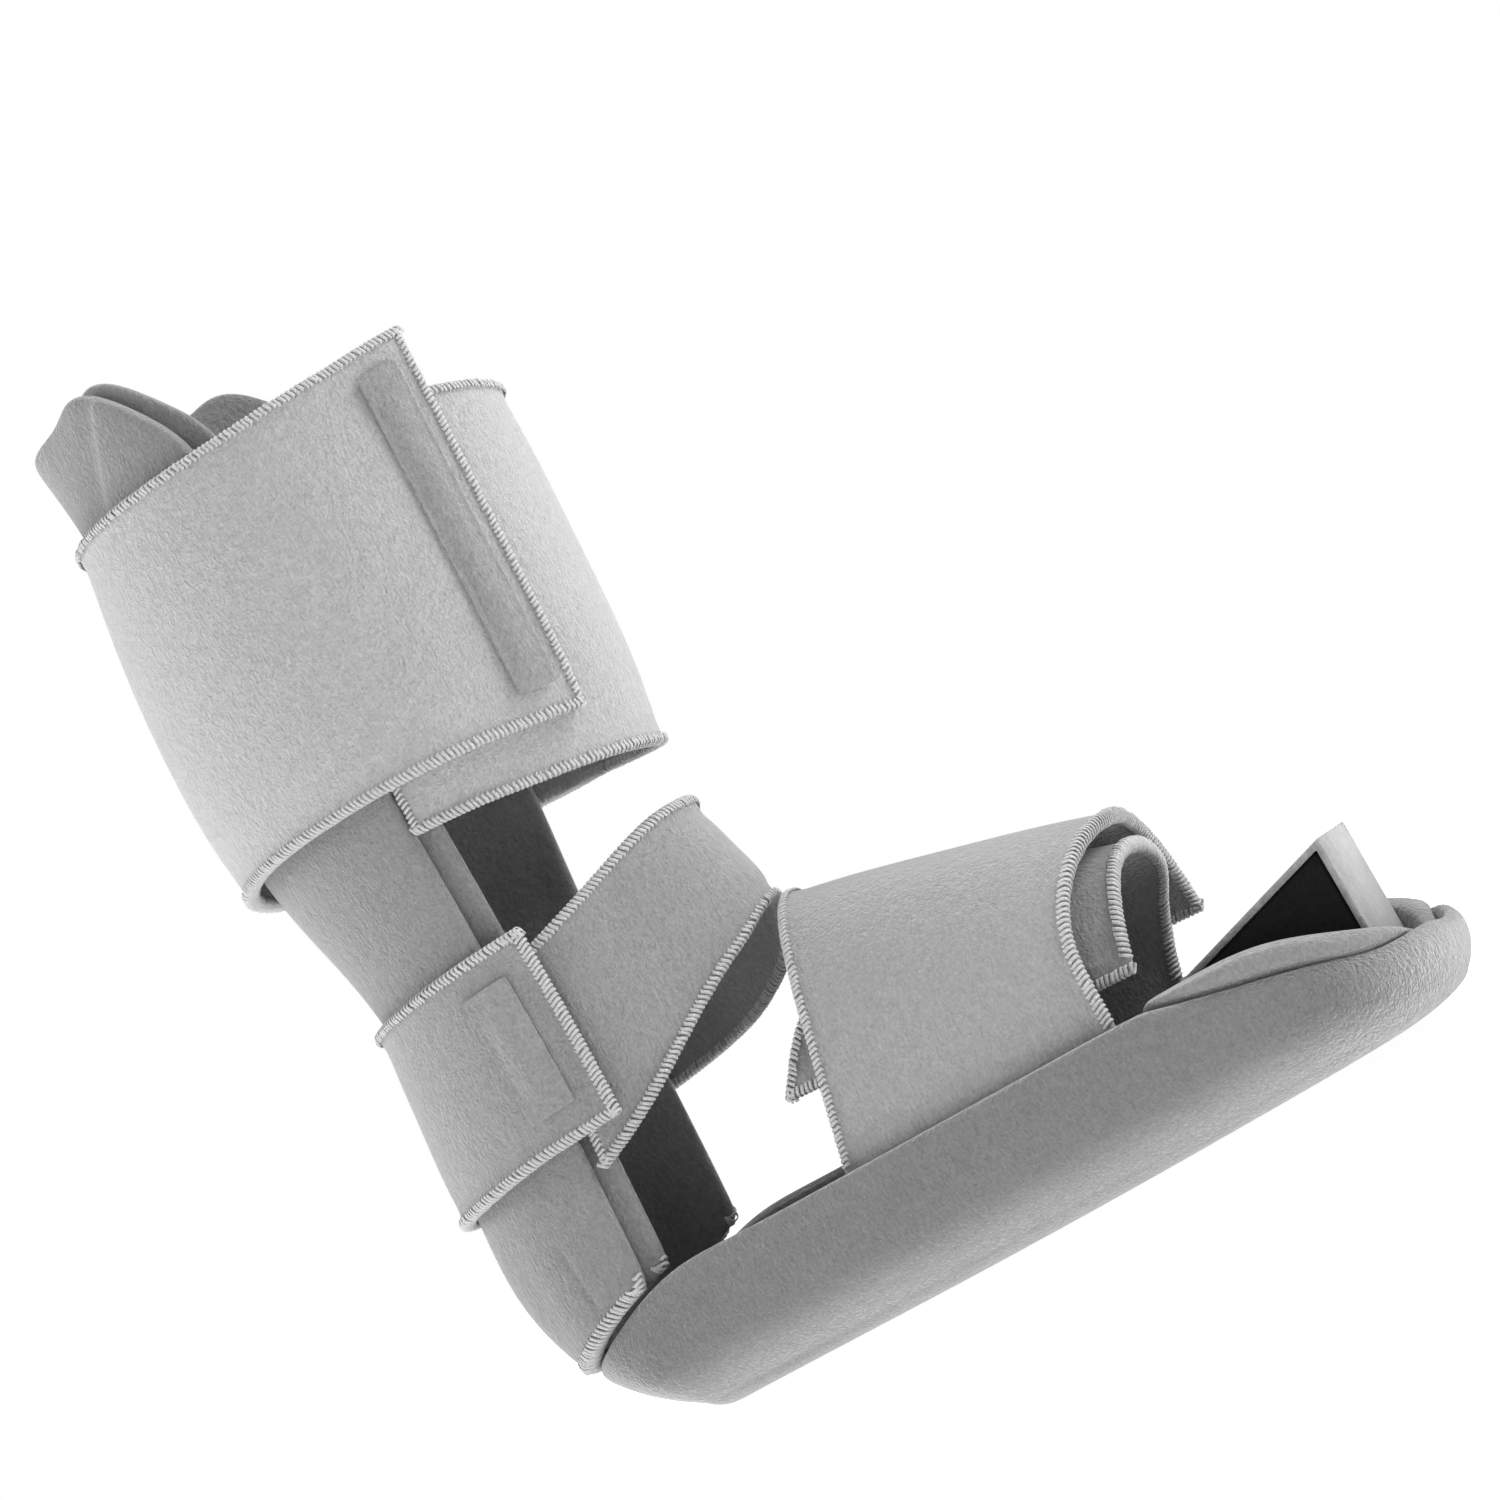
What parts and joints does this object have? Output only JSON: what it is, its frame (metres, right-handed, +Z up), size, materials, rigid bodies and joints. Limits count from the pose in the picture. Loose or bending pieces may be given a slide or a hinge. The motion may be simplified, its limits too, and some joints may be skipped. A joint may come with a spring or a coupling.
{
  "type": "plantar fasciitis night splint",
  "caption": "Soft padded night splint: a boat-shaped foot bed and a half pipe behind the calf, with a wide calf wrap, an ankle strap, forefoot flaps and a foam wedge under the toes.",
  "frame": {"origin": "on the flat part of the sole, in the middle plane, under the axis of the leg", "axes": "+X to the toes, +Y to the wearer's left, +Z up along the leg"},
  "size_m": [0.3173, 0.124, 0.3543],
  "materials": {
    "foam_cloth": "matte grey brushed loop cloth on foam, light grey overlocked edges",
    "liner_cloth": "matte darker grey brushed cloth on foam",
    "foam": "matte black closed cell foam, cut faces",
    "felt": "matte light grey felt"
  },
  "bodies": {
    "root": {"foot_trough": "foam_cloth", "foot_liner": "liner_cloth", "leg_shell": "foam_cloth", "leg_liner": "liner_cloth", "calf_wrap": "foam_cloth", "calf_hook_patch": "foam_cloth", "ankle_strap": "foam_cloth", "ankle_hook_patch": "foam_cloth", "forefoot_flap_outer": "foam_cloth", "forefoot_flap_inner": "liner_cloth", "toe_wedge": "foam", "toe_wedge_cover": "felt"}
  },
  "joints": []
}
